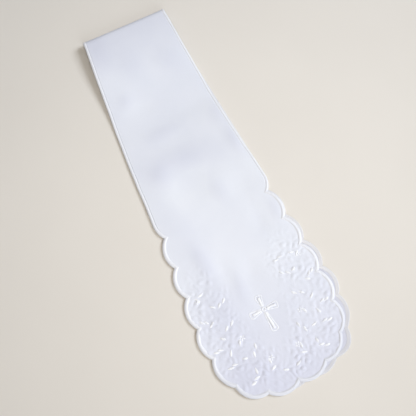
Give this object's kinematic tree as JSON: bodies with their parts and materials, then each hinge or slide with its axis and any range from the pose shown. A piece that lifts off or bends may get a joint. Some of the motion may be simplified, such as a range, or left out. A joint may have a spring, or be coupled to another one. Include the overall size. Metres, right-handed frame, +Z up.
{
  "type": "clerical stole",
  "caption": "Narrow white stole folded at the neck and laid flat, flaring to a rounded scalloped tab, with corded edging, an embroidered cross and leafy sprays.",
  "frame": {"origin": "middle of the folded stole's footprint, on the surface it lies on", "axes": "+Z up; +Y from the scalloped tabs towards the neck fold; +X to the right of someone who looks along +Y"},
  "size_m": [0.1352, 0.3798, 0.0117],
  "materials": {
    "white_cloth": "smooth woven cotton satin, faint sheen",
    "edging_thread": "close satin stitch over a cord",
    "embroidery_thread": "satin stitch, soft sheen"
  },
  "bodies": {
    "root": {"cloth": "white_cloth", "edging": "edging_thread", "cross": "embroidery_thread", "spray_right": "embroidery_thread", "spray_left": "embroidery_thread"}
  },
  "joints": []
}
